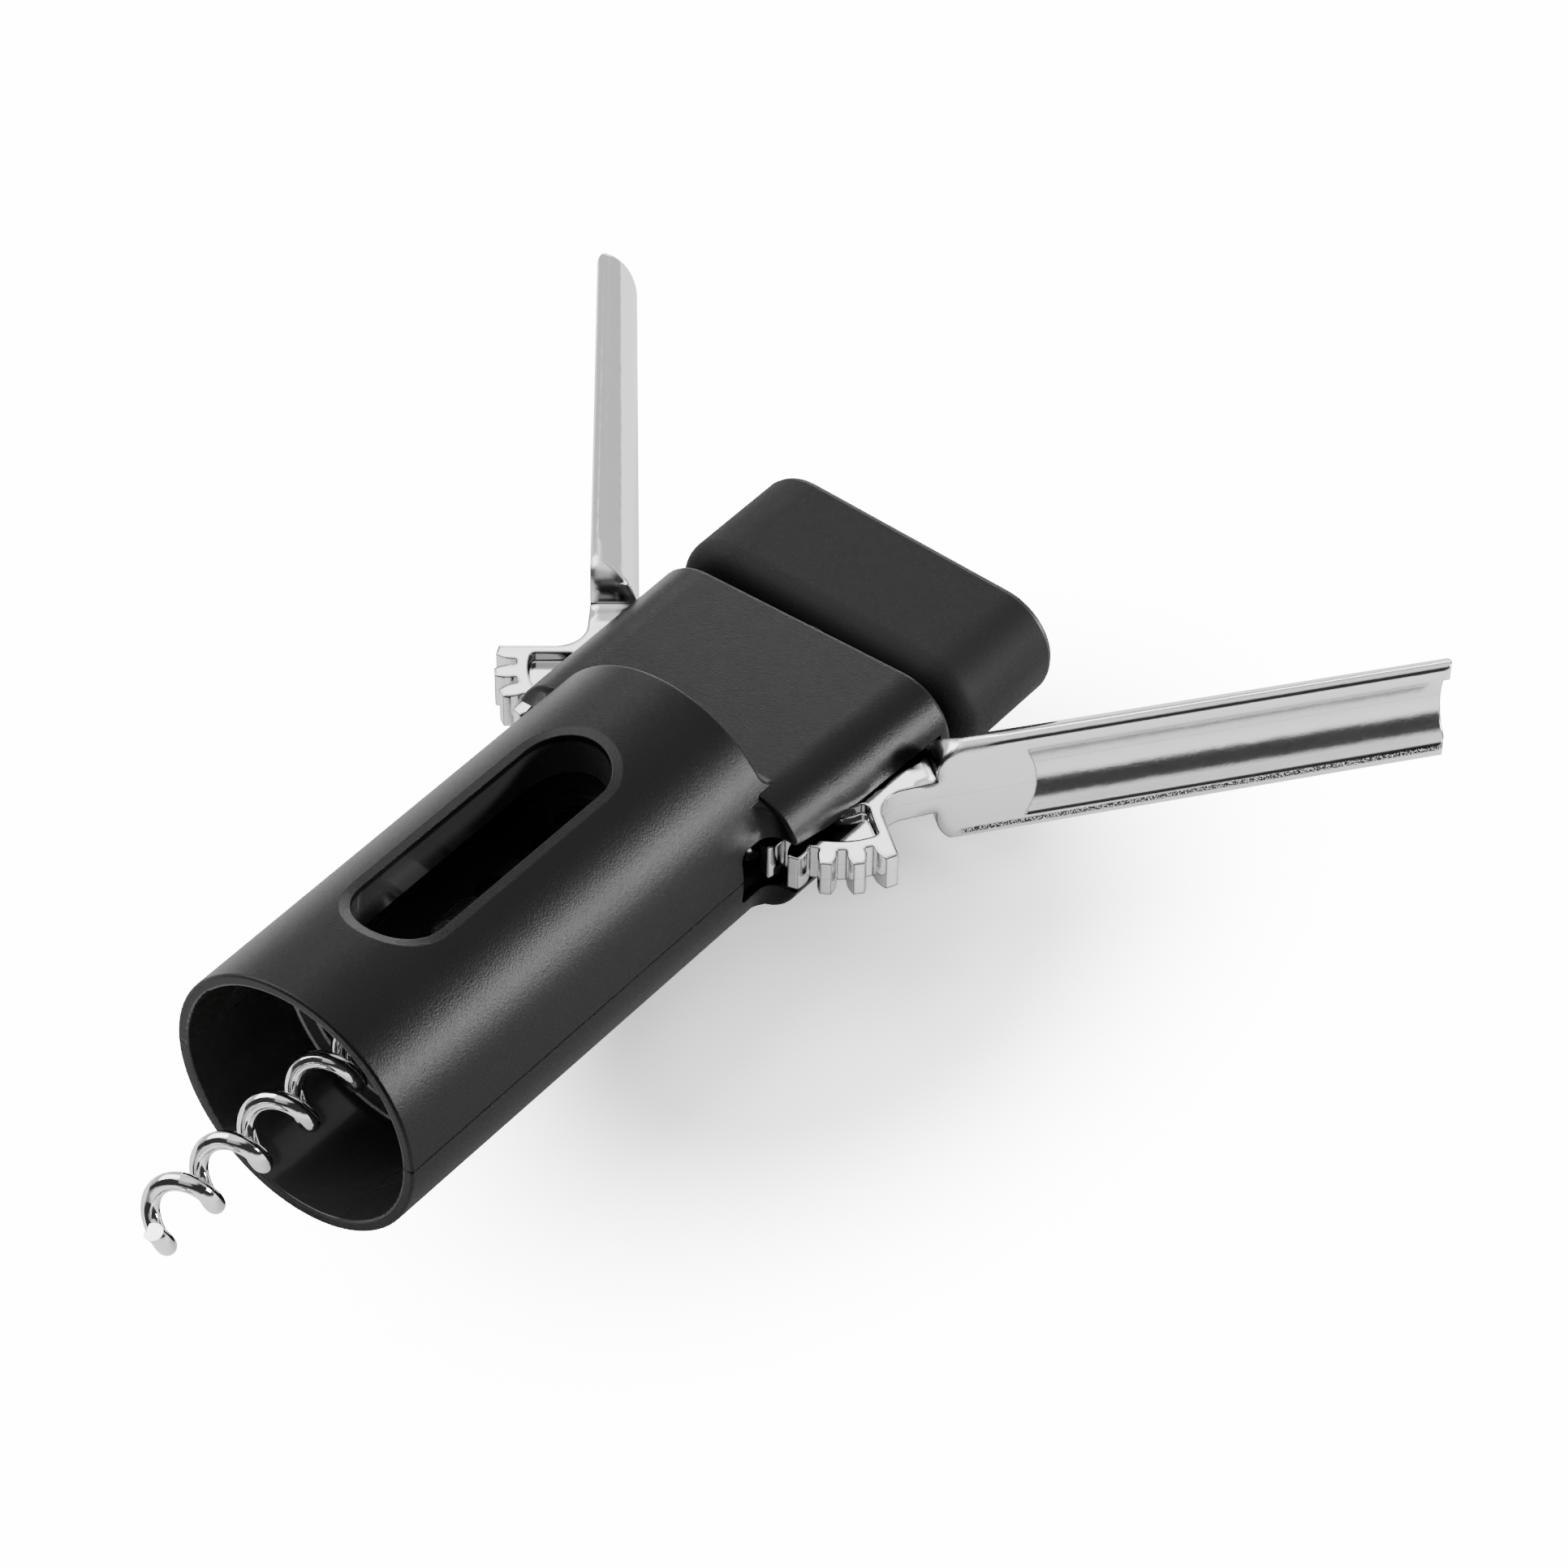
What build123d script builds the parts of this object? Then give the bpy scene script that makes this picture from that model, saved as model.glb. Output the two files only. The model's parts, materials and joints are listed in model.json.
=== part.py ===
from build123d import *
import math
import os

# Lever corkscrew, in millimetres.
# The origin is the centre of the tube's mouth, +Y runs along the axis to the grip,
# and +Z points to the side with the window.

# Casing: tube
tube_radius = 21.0
# Inner blocks end here, just inside the tube's skin
sunk_radius = tube_radius - 0.5
tube_end = 81.0
mouth_bore_radius = 19.1
mouth_depth = 20.2
neck_bore_radius = 16.0
neck_depth = 30.0
cork_bore_radius = 13.7
guide_wall_start = 66.0
guide_wall_end = 70.0
liner_radius = 15.5
void_start = 32.0
mouth_edge_radius = 0.45
seam_depth = 0.7
seam_half_gap = 0.12

# Casing: head that carries the levers
head_start = 79.0
head_end = 114.2
head_low_half_width = 25.6
head_high_half_width = 26.7
head_low_half_thickness = 10.5
head_high_half_thickness = 9.4
head_corner_radius = 8.7
head_end_edge_radius = 1.0
head_start_edge_radius = 0.5
head_wall = 2.0
end_wall_start = 111.7
flare_radius = 2.6
cove_radius = 1.6
tube_end_edge_radius = 0.7
# Half-heights of the lever slots, from the tube up to the end wall
slot_start = 72.4
slot_profile = [(slot_start, 4.9), (79.0, 4.6), (86.0, 3.6), (95.0, 3.3), (end_wall_start, 3.2)]
slot_corner_radius = 1.5
boss_radius = 5.5

# Casing: window
window_half_width = 7.0
window_start = 16.6
window_end = 65.0
window_wall = 1.7
window_rim_width = 1.6
window_rim_depth = 0.45

# Rack and lever gear; the lever's teeth are thicker than the rack's
gear_module = 1.4
gear_teeth = 22
pressure_angle = math.radians(17)
lever_tooth_share = 0.6
backlash = 0.2
tooth_root = 1.25
gear_half_thickness = 2.9
pitch_radius = gear_module * gear_teeth / 2
tip_radius = pitch_radius + gear_module
root_radius = pitch_radius - tooth_root * gear_module
base_radius = pitch_radius * math.cos(pressure_angle)
tooth_angle = 360 / gear_teeth
rack_pitch = math.pi * gear_module
lever_tooth_thickness = lever_tooth_share * rack_pitch
rack_tip_radius = 7.0
rack_root_radius = rack_tip_radius - (1 + tooth_root) * gear_module
rack_pitch_radius = rack_tip_radius - gear_module

# Lever pivots and the levers' rest angle from the axis
pivot_x = rack_pitch_radius + pitch_radius
pivot_y = 94.5
lever_angle = 38.0
# Share of a pitch by which the teeth stand off the line between pivot and axis
mesh_shift = 0.38
first_tooth = -1
last_tooth = 9
hub_radius = 4.6
running_clearance = 0.05
sleeve_radius = 3.0
sleeve_bore_radius = 1.7
sleeve_half_length = 5.3
washer_radius = 4.4
washer_outer_z = 3.25
washer_thickness = 0.2

# Lever handle, in its own frame: n across the handle to its open side, t along it from the pivot
handle_lip_n = 3.0
handle_half_width = 9.0
handle_foot_depth = 7.3
handle_tip_depth = 6.2
handle_foot = 12.6
handle_tip = 91.3
ear_start = 13.9
ear_end = 17.4
back_rise_end = 14.0
trough_start = 27.2
trough_half_width = 5.9
trough_depth = 4.1
paddle_tongue = 1.5
strap_back_n = -2.0
sector_top_t = 4.4
# Bends of the strap, outside from the sector up and inside from the handle down
strap_outer = [(7.6, sector_top_t), (4.6, 5.8), (3.3, 9.0)]
strap_inner = [(-0.7, 9.6), (2.2, 5.8)]
lip_edge_radius = 1.0
lip_corner_radius = 1.5
pocket_depth = 1.7
pocket_rim = 1.8
pocket_hub_rim = 0.5
pocket_top_t = 2.9
pocket_corner_radius = 0.9
pocket_first_tooth = 3

# Shaft, worm and grip
shaft_start = 37.0
shaft_nose_radius = 6.0
rack_start = 46.8
journal_end = 114.6
shaft_neck_radius = 5.0
shaft_end = 134.0
bush_clearance = 0.06
bush_start = 108.6
bush_wall = 1.0
bush_flange_width = 1.7
bush_flange_thickness = 1.0
worm_foot = -29.8
worm_turns = 6.75
worm_tip_turn = -0.15
ground_tip_turn = -0.12
worm_pitch = 9.7
worm_coil_radius = 3.4
wire_radius = 1.32
worm_tail_start = 42.6
worm_tail_end = 48.0
worm_pin_y = 44.6
worm_pin_radius = 0.8
ferrule_wall = 0.6
ferrule_length = 5.0
ferrule_lip = 0.7
grip_start = 116.7
grip_end = 139.3
grip_turn = 3.4
grip_half_width = 26.7
grip_half_thickness = 9.4
grip_corner_radius = 9.0
grip_near_edge_radius = 4.0
grip_far_edge_radius = 0.5
grip_skin = 2.6
grip_pin_y = 127.0
grip_pin_radius = 1.5
end_cap_thickness = 1.1
end_cap_inset = 0.2
thrust_washer_radius = 6.5
thrust_washer_gap = 0.2
socket_gap = 0.2
socket_end_gap = 0.6
tail_end_gap = 0.5
ferrule_pin_gap = 0.3
neck_end_gap = 0.2
grip_pin_gap = 0.2

# Fasteners
pivot_screw_head_z = -6.4
pivot_screw_tip_z = 7.2
tube_screw_x = 15.6
tube_screw_y = 48.0
tube_screw_head_z = -6.4
tube_screw_tip_z = 8.2
screw_radius = 1.4
screw_head_radius = 2.1
screw_head_height = 1.6
screw_head_edge_radius = 0.6
screw_cross_length = 2.6
screw_cross_width = 0.7
screw_cross_depth = 0.9
screw_head_room = 0.2
screw_clearance = 0.04
tube_boss_radius = 3.3
fit_gap = 0.05
# Points closer than this count as one place
same_place = 0.01

os.makedirs("parts", exist_ok=True)


def across(y):
    """Plane square to the axis at y, facing the grip."""
    return Plane(origin=(0, y, 0), x_dir=(1, 0, 0), z_dir=(0, 1, 0))


def polar(radius, degrees):
    """Point on a circle about the sketch's origin."""
    angle = math.radians(degrees)
    return (radius * math.cos(angle), radius * math.sin(angle))


def keep(part, name):
    """Label a finished piece and write it to its own file."""
    part.label = name
    export_step(part, f"parts/{name}.step")


def involute(angle):
    """Involute function of an angle in radians."""
    return math.tan(angle) - angle


def head_section(y):
    """Half-width and half-thickness of the head at y."""
    share = (y - head_start) / (head_end - head_start)
    half_width = head_low_half_width + share * (head_high_half_width - head_low_half_width)
    half_thickness = head_low_half_thickness + share * (head_high_half_thickness - head_low_half_thickness)
    return half_width, half_thickness


def head_slab(low_y, high_y, wall):
    """Tapered slab with rounded sides, a wall's thickness inside the head's outside."""
    low_width, low_thickness = head_section(low_y)
    high_width, high_thickness = head_section(high_y)
    with BuildPart() as slab:
        with BuildSketch(Plane.XY):
            with BuildLine():
                Polyline(
                    (wall - low_width, low_y),
                    (low_width - wall, low_y),
                    (high_width - wall, high_y),
                    (wall - high_width, high_y),
                    close=True,
                )
            make_face()
        extrude(amount=tube_radius, both=True)
        with BuildSketch(Plane.YZ):
            with BuildLine():
                Polyline(
                    (low_y, wall - low_thickness),
                    (low_y, low_thickness - wall),
                    (high_y, high_thickness - wall),
                    (high_y, wall - high_thickness),
                    close=True,
                )
            make_face()
        extrude(amount=2 * tube_radius, both=True, mode=Mode.INTERSECT)
        far_x = low_width - wall - 1
        far_z = high_thickness - wall - 1
        side_edges = slab.edges().filter_by(
            lambda e: abs(e.center().X) > far_x and abs(e.center().Z) > far_z
        )
        fillet(side_edges, radius=head_corner_radius - wall)
    return slab.part


# Head block: a tapered slab with rounded sides
with BuildPart() as head_block:
    add(head_slab(head_start, head_end, 0))
    end_face = head_block.faces().sort_by(Axis.Y)[-1]
    fillet(end_face.edges(), radius=head_end_edge_radius)
    start_face = head_block.faces().sort_by(Axis.Y)[0]
    fillet(start_face.edges(), radius=head_start_edge_radius)

# Flare: the hollow curve that carries the tube's flank out to the head
flare_start = head_start - flare_radius
with BuildPart() as flare:
    with BuildSketch(Plane.XY):
        with BuildLine():
            RadiusArc((tube_radius, flare_start), (tube_radius + flare_radius, head_start), flare_radius)
            Polyline(
                (tube_radius + flare_radius, head_start),
                (tube_radius + flare_radius, head_start + 1),
                (tube_radius - 1, head_start + 1),
                (tube_radius - 1, flare_start),
                (tube_radius, flare_start),
            )
        make_face()
    revolve(axis=Axis.Y)
    with BuildSketch(across(flare_start - 1)):
        RectangleRounded(2 * head_low_half_width - 1, 2 * head_low_half_thickness - 1, head_corner_radius)
    extrude(amount=flare_radius + 2, mode=Mode.INTERSECT)

# Coves: the hollow curves at the foot of the tube's two end walls
cove_foot = head_section(tube_end)[1]
with BuildPart() as coves:
    with BuildSketch(Plane.YZ):
        with BuildLine():
            RadiusArc(
                (tube_end, cove_foot + cove_radius), (tube_end + cove_radius, cove_foot), -cove_radius
            )
            Polyline(
                (tube_end + cove_radius, cove_foot),
                (tube_end + cove_radius, cove_foot - 1),
                (tube_end - 1, cove_foot - 1),
                (tube_end - 1, cove_foot + cove_radius),
                (tube_end, cove_foot + cove_radius),
            )
        make_face()
        mirror(about=Plane.XZ)
    extrude(amount=tube_radius, both=True)
    with BuildSketch(across(tube_end - 2)):
        Circle(tube_radius)
    extrude(amount=2 * cove_radius + 2, mode=Mode.INTERSECT)

# Bosses for the pivots and the tube's screws
with BuildPart() as pivot_bosses:
    with BuildSketch(Plane.XY):
        with Locations((pivot_x, pivot_y), (-pivot_x, pivot_y)):
            Circle(boss_radius)
    extrude(amount=head_low_half_thickness, both=True)
    add(head_block.part, mode=Mode.INTERSECT)

with BuildPart() as tube_bosses:
    with BuildSketch(Plane.XY):
        with Locations((tube_screw_x, tube_screw_y), (-tube_screw_x, tube_screw_y)):
            Circle(tube_boss_radius)
    extrude(amount=tube_radius, both=True)
    with BuildSketch(across(0)):
        Circle(sunk_radius)
        Circle(cork_bore_radius, mode=Mode.SUBTRACT)
    extrude(amount=tube_end, mode=Mode.INTERSECT)

# Casing before it is parted: tube, head, stepped bore and gear room
room_start = head_start + head_wall
shaft_hole_radius = rack_tip_radius + bush_wall
with BuildPart() as casing:
    with BuildSketch(across(0)):
        Circle(tube_radius)
    extrude(amount=tube_end)
    add(head_block.part)
    add(flare.part)
    add(coves.part)
    crescents = casing.edges().filter_by(GeomType.CIRCLE).filter_by(
        lambda e: abs(e.center().Y - tube_end) < same_place and e.radius > tube_radius - 0.1
    )
    fillet(crescents, radius=tube_end_edge_radius)
    # Stepped bore: bottle mouth, neck, cork, the guide wall's hole, then the way to the gear room
    guide_hole_radius = rack_tip_radius + 2 * bush_wall
    with BuildSketch(Plane.XY):
        with BuildLine():
            Polyline(
                (0, -1),
                (mouth_bore_radius, -1),
                (mouth_bore_radius, mouth_depth),
                (neck_bore_radius, mouth_depth),
                (neck_bore_radius, neck_depth),
                (cork_bore_radius, neck_depth),
                (cork_bore_radius, guide_wall_start),
                (guide_hole_radius, guide_wall_start),
                (guide_hole_radius, guide_wall_end),
                (cork_bore_radius, guide_wall_end),
                (cork_bore_radius, head_start - 1),
                (shaft_hole_radius, head_start - 1),
                (shaft_hole_radius, room_start + 1),
                (0, room_start + 1),
                close=True,
            )
        make_face()
    revolve(axis=Axis.Y, mode=Mode.SUBTRACT)
    mouth_edges = casing.edges().filter_by(GeomType.CIRCLE).filter_by(lambda e: abs(e.center().Y) < same_place)
    fillet(mouth_edges, radius=mouth_edge_radius)
    # Room between the outer wall and the liner of the cork bore
    with BuildSketch(Plane.XY):
        with Locations(((liner_radius + mouth_bore_radius) / 2, (void_start + guide_wall_end) / 2)):
            Rectangle(mouth_bore_radius - liner_radius, guide_wall_end - void_start)
    revolve(axis=Axis.Y, mode=Mode.SUBTRACT)
    add(tube_bosses.part)
    # Gear room in the head, open at the sides through the slots
    add(head_slab(room_start, end_wall_start, head_wall), mode=Mode.SUBTRACT)
    add(pivot_bosses.part)
    with BuildSketch(Plane.YZ) as slot:
        with BuildLine():
            Polyline(*slot_profile, *[(y, -z) for y, z in reversed(slot_profile)], close=True)
        make_face()
        fillet(slot.vertices().group_by(Axis.X)[0], radius=slot_corner_radius)
    extrude(amount=2 * tube_radius, both=True, mode=Mode.SUBTRACT)
    # Seat of the shaft's bush in the end wall
    flange_start = head_end - bush_flange_thickness
    with BuildSketch(Plane.XY):
        with BuildLine():
            Polyline(
                (0, bush_start - 1),
                (shaft_hole_radius + fit_gap, bush_start - 1),
                (shaft_hole_radius + fit_gap, flange_start),
                (rack_tip_radius + bush_flange_width + fit_gap, flange_start),
                (rack_tip_radius + bush_flange_width + fit_gap, head_end + 1),
                (0, head_end + 1),
                close=True,
            )
        make_face()
    revolve(axis=Axis.Y, mode=Mode.SUBTRACT)
    # Parting line of the two shells, a fine groove on each flank
    with BuildSketch(across(-1)):
        with Locations((tube_radius, 0), (-tube_radius, 0)):
            Rectangle(2 * seam_depth, 2 * seam_half_gap)
    extrude(amount=slot_start + 1, mode=Mode.SUBTRACT)
    # Seats of the pivot sleeves and holes for the four screws
    with BuildSketch(Plane.XY):
        with Locations((pivot_x, pivot_y), (-pivot_x, pivot_y)):
            Circle(sleeve_radius + screw_clearance)
    extrude(amount=sleeve_half_length, both=True, mode=Mode.SUBTRACT)
    screw_places = [
        (pivot_x, pivot_y, pivot_screw_head_z, pivot_screw_tip_z),
        (-pivot_x, pivot_y, pivot_screw_head_z, pivot_screw_tip_z),
        (tube_screw_x, tube_screw_y, tube_screw_head_z, tube_screw_tip_z),
        (-tube_screw_x, tube_screw_y, tube_screw_head_z, tube_screw_tip_z),
    ]
    for x, y, head_z, tip_z in screw_places:
        with BuildSketch(Plane.XY.offset(head_z)):
            with Locations((x, y)):
                Circle(screw_head_radius + screw_head_room)
        extrude(amount=-tube_radius, mode=Mode.SUBTRACT)
        with BuildSketch(Plane.XY.offset(head_z)):
            with Locations((x, y)):
                Circle(screw_radius + screw_clearance)
        extrude(amount=tip_z + screw_head_room - head_z, mode=Mode.SUBTRACT)

# Front shell, with the window that shows the worm
window_middle = (window_start + window_end) / 2
window_length = window_end - window_start
with BuildPart() as window_frame:
    with BuildSketch(Plane.XY.offset(cork_bore_radius - 3.5)):
        with Locations((0, window_middle)):
            SlotOverall(
                window_length + 2 * window_wall,
                2 * (window_half_width + window_wall),
                rotation=90,
            )
    extrude(amount=tube_radius)
    with BuildSketch(Plane.XY):
        with Locations(((cork_bore_radius + sunk_radius) / 2, window_middle)):
            Rectangle(sunk_radius - cork_bore_radius, 2 * window_length)
    revolve(axis=Axis.Y, mode=Mode.INTERSECT)
    with BuildSketch(across(0)):
        Circle(mouth_bore_radius)
    extrude(amount=mouth_depth, mode=Mode.SUBTRACT)

with BuildPart() as front_shell:
    add(casing.part)
    split(bisect_by=Plane.XY, keep=Keep.TOP)
    add(window_frame.part)
    with BuildSketch(Plane.XY.offset(cork_bore_radius / 2)):
        with Locations((0, window_middle)):
            SlotOverall(window_length, 2 * window_half_width, rotation=90)
    extrude(amount=tube_radius, mode=Mode.SUBTRACT)
    window_rim = front_shell.edges().filter_by(
        lambda e: e.center().Z > 18 and window_start - 1 < e.center().Y < window_end + 1
        and abs(e.center().X) < window_half_width + 1
        and all(abs(math.hypot(v.X, v.Z) - tube_radius) < same_place for v in e.vertices())
    )
    chamfer(window_rim, length=window_rim_depth, length2=window_rim_width)
    keep(front_shell.part, "front_shell")

with BuildPart() as back_shell:
    add(casing.part)
    split(bisect_by=Plane.XY, keep=Keep.BOTTOM)
    keep(back_shell.part, "back_shell")


def screw(x, y, head_z, tip_z):
    """Pan-head screw that goes in from the back, its head's underside at head_z."""
    with BuildPart() as piece:
        with BuildSketch(Plane.XY.offset(head_z)):
            with Locations((x, y)):
                Circle(screw_head_radius)
        extrude(amount=-screw_head_height)
        fillet(piece.faces().sort_by(Axis.Z)[0].edges(), radius=screw_head_edge_radius)
        with BuildSketch(Plane.XY.offset(head_z)):
            with Locations((x, y)):
                Circle(screw_radius)
        extrude(amount=tip_z - head_z)
        with BuildSketch(Plane.XY.offset(head_z - screw_head_height)):
            with Locations((x, y)):
                Rectangle(screw_cross_length, screw_cross_width)
                Rectangle(screw_cross_width, screw_cross_length)
        extrude(amount=screw_cross_depth, mode=Mode.SUBTRACT)
    return piece.part


with BuildPart() as pivot_screws:
    for place in screw_places[:2]:
        add(screw(*place))
    keep(pivot_screws.part, "pivot_screws")

with BuildPart() as tube_screws:
    for place in screw_places[2:]:
        add(screw(*place))
    keep(tube_screws.part, "tube_screws")

# Pivot sleeves and lever washers
for side, side_sign in (("right", 1), ("left", -1)):
    with BuildPart() as pivot_sleeve:
        with BuildSketch(Plane.XY):
            with Locations((side_sign * pivot_x, pivot_y)):
                Circle(sleeve_radius)
                Circle(sleeve_bore_radius, mode=Mode.SUBTRACT)
        extrude(amount=sleeve_half_length, both=True)
        keep(pivot_sleeve.part, f"{side}_pivot_sleeve")
    with BuildPart() as lever_washers:
        for face_z, direction in ((washer_outer_z, -1), (-washer_outer_z, 1)):
            with BuildSketch(Plane.XY.offset(face_z)):
                with Locations((side_sign * pivot_x, pivot_y)):
                    Circle(washer_radius)
                    Circle(sleeve_radius + screw_clearance, mode=Mode.SUBTRACT)
            extrude(amount=direction * washer_thickness)
        keep(lever_washers.part, f"{side}_lever_washers")

# Bushes that guide the shaft
with BuildPart() as shaft_bush:
    with BuildSketch(Plane.XY):
        with BuildLine():
            Polyline(
                (rack_tip_radius + bush_clearance, bush_start),
                (shaft_hole_radius, bush_start),
                (shaft_hole_radius, flange_start),
                (rack_tip_radius + bush_flange_width, flange_start),
                (rack_tip_radius + bush_flange_width, head_end),
                (rack_tip_radius + bush_clearance, head_end),
                close=True,
            )
        make_face()
    revolve(axis=Axis.Y)
    keep(shaft_bush.part, "shaft_bush")

with BuildPart() as lower_bush:
    with BuildSketch(Plane.XY):
        with BuildLine():
            Polyline(
                (rack_tip_radius + bush_clearance, guide_wall_start - bush_flange_thickness),
                (guide_hole_radius - fit_gap, guide_wall_start - bush_flange_thickness),
                (guide_hole_radius - fit_gap, guide_wall_end),
                (guide_hole_radius + bush_flange_width, guide_wall_end),
                (guide_hole_radius + bush_flange_width, guide_wall_end + bush_flange_thickness),
                (rack_tip_radius + bush_clearance, guide_wall_end + bush_flange_thickness),
                close=True,
            )
        make_face()
    revolve(axis=Axis.Y)
    keep(lower_bush.part, "lower_bush")

# Right lever: toothed sector, strap, and trough handle in one casting
lean = math.radians(lever_angle)
across_handle = (math.cos(lean), -math.sin(lean), 0)
along_handle = (math.sin(lean), math.cos(lean), 0)
pivot_point = (pivot_x, pivot_y, 0)
gear_plane = Plane(origin=pivot_point, x_dir=across_handle, z_dir=(0, 0, 1))
handle_plane = Plane(origin=pivot_point, x_dir=across_handle, z_dir=along_handle)
front_plane = Plane(origin=pivot_point, x_dir=along_handle, z_dir=across_handle)


def tooth_half_angle(radius):
    """Half the angle, in degrees, that a tooth spans at a radius."""
    pitch_half = lever_tooth_thickness / (2 * pitch_radius)
    cosine = min(1.0, base_radius / radius)
    return math.degrees(pitch_half + involute(pressure_angle) - involute(math.acos(cosine)))


def tooth_centre(index):
    """Angle of a tooth in the lever's frame; tooth 0 meshes nearly straight across from the axis."""
    return 180 + lever_angle + (index + mesh_shift) * tooth_angle


sector_from = tooth_centre(first_tooth) - tooth_angle / 2
sector_to = tooth_centre(last_tooth)
sector_top_n = math.sqrt(tip_radius**2 - sector_top_t**2)
tooth_depth_in_web = 0.6

with BuildPart() as right_lever:
    with BuildSketch(gear_plane):
        # Web of the sector and its hub
        with BuildLine():
            Line((0, 0), polar(root_radius, sector_from))
            ThreePointArc(
                polar(root_radius, sector_from),
                polar(root_radius, (sector_from + sector_to) / 2),
                polar(root_radius, sector_to),
            )
            Line(polar(root_radius, sector_to), (0, 0))
        make_face()
        Circle(hub_radius)
        # Teeth
        for index in range(first_tooth, last_tooth + 1):
            middle = tooth_centre(index)
            base_half = tooth_half_angle(base_radius)
            pitch_half = tooth_half_angle(pitch_radius)
            tip_half = tooth_half_angle(tip_radius)
            inner = root_radius - tooth_depth_in_web
            with BuildLine():
                Line(polar(inner, middle - base_half), polar(base_radius, middle - base_half))
                ThreePointArc(
                    polar(base_radius, middle - base_half),
                    polar(pitch_radius, middle - pitch_half),
                    polar(tip_radius, middle - tip_half),
                )
                ThreePointArc(
                    polar(tip_radius, middle - tip_half),
                    polar(tip_radius, middle),
                    polar(tip_radius, middle + tip_half),
                )
                ThreePointArc(
                    polar(tip_radius, middle + tip_half),
                    polar(pitch_radius, middle + pitch_half),
                    polar(base_radius, middle + base_half),
                )
                Line(polar(base_radius, middle + base_half), polar(inner, middle + base_half))
                Line(polar(inner, middle + base_half), polar(inner, middle - base_half))
            make_face()
        # Square end of the sector, above the last tooth
        with BuildLine():
            Line((0, 0), polar(tip_radius, sector_to))
            ThreePointArc(
                polar(tip_radius, sector_to),
                polar(tip_radius, sector_to - 360 + 1),
                (sector_top_n, sector_top_t),
            )
            Line((sector_top_n, sector_top_t), (0, sector_top_t))
            Line((0, sector_top_t), (0, 0))
        make_face()
        # Strap that bends from the sector up to the handle
        with BuildLine():
            Line((0, 0), strap_outer[0])
            ThreePointArc(*strap_outer)
            Line(strap_outer[-1], (handle_lip_n, handle_foot + 1))
            Line((handle_lip_n, handle_foot + 1), (strap_back_n, handle_foot + 1))
            ThreePointArc((strap_back_n, handle_foot + 1), *strap_inner)
            Line(strap_inner[-1], (0, 0))
        make_face()
    extrude(amount=gear_half_thickness, both=True)
    # Pockets in both faces of the sector, between rim, hub and strap
    pocket_from = tooth_centre(pocket_first_tooth) - 360
    pocket_outer = root_radius - pocket_rim
    pocket_inner = hub_radius + pocket_hub_rim
    outer_to = math.degrees(math.asin(pocket_top_t / pocket_outer))
    inner_to = math.degrees(math.asin(pocket_top_t / pocket_inner))
    for face_z, direction in ((gear_half_thickness, -1), (-gear_half_thickness, 1)):
        pocket_plane = Plane(origin=(pivot_x, pivot_y, face_z), x_dir=across_handle, z_dir=(0, 0, 1))
        with BuildSketch(pocket_plane) as pocket:
            with BuildLine():
                Line(polar(pocket_inner, pocket_from), polar(pocket_outer, pocket_from))
                ThreePointArc(
                    polar(pocket_outer, pocket_from),
                    polar(pocket_outer, (pocket_from + outer_to) / 2),
                    polar(pocket_outer, outer_to),
                )
                Line(polar(pocket_outer, outer_to), polar(pocket_inner, inner_to))
                ThreePointArc(
                    polar(pocket_inner, inner_to),
                    polar(pocket_inner, (pocket_from + inner_to) / 2),
                    polar(pocket_inner, pocket_from),
                )
            make_face()
            fillet(pocket.vertices(), radius=pocket_corner_radius)
        extrude(amount=direction * pocket_depth, mode=Mode.SUBTRACT)
    with BuildSketch(gear_plane):
        Circle(sleeve_radius + running_clearance)
    extrude(amount=gear_half_thickness + 1, both=True, mode=Mode.SUBTRACT)

# Trough along the handle's open side, with rounded lips; the paddle's tongue bulges into its start
above_lips = handle_lip_n + handle_half_width
with BuildPart() as trough:
    with BuildSketch(handle_plane.offset(trough_start)) as trough_section:
        with Locations((handle_lip_n, 0)):
            Ellipse(trough_depth, trough_half_width)
        with Locations((above_lips, 0)):
            Rectangle(2 * handle_half_width, 3 * handle_half_width)
        lip_corners = [v for v in trough_section.vertices() if abs(abs(v.Y) - trough_half_width) < same_place]
        fillet(lip_corners, radius=lip_edge_radius)
    extrude(amount=handle_tip)
    with BuildSketch(front_plane):
        with BuildLine():
            ThreePointArc(
                (trough_start, -trough_half_width),
                (trough_start + paddle_tongue, 0),
                (trough_start, trough_half_width),
            )
            Line((trough_start, trough_half_width), (trough_start, -trough_half_width))
        make_face()
    extrude(amount=handle_half_width, both=True, mode=Mode.SUBTRACT)

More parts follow.
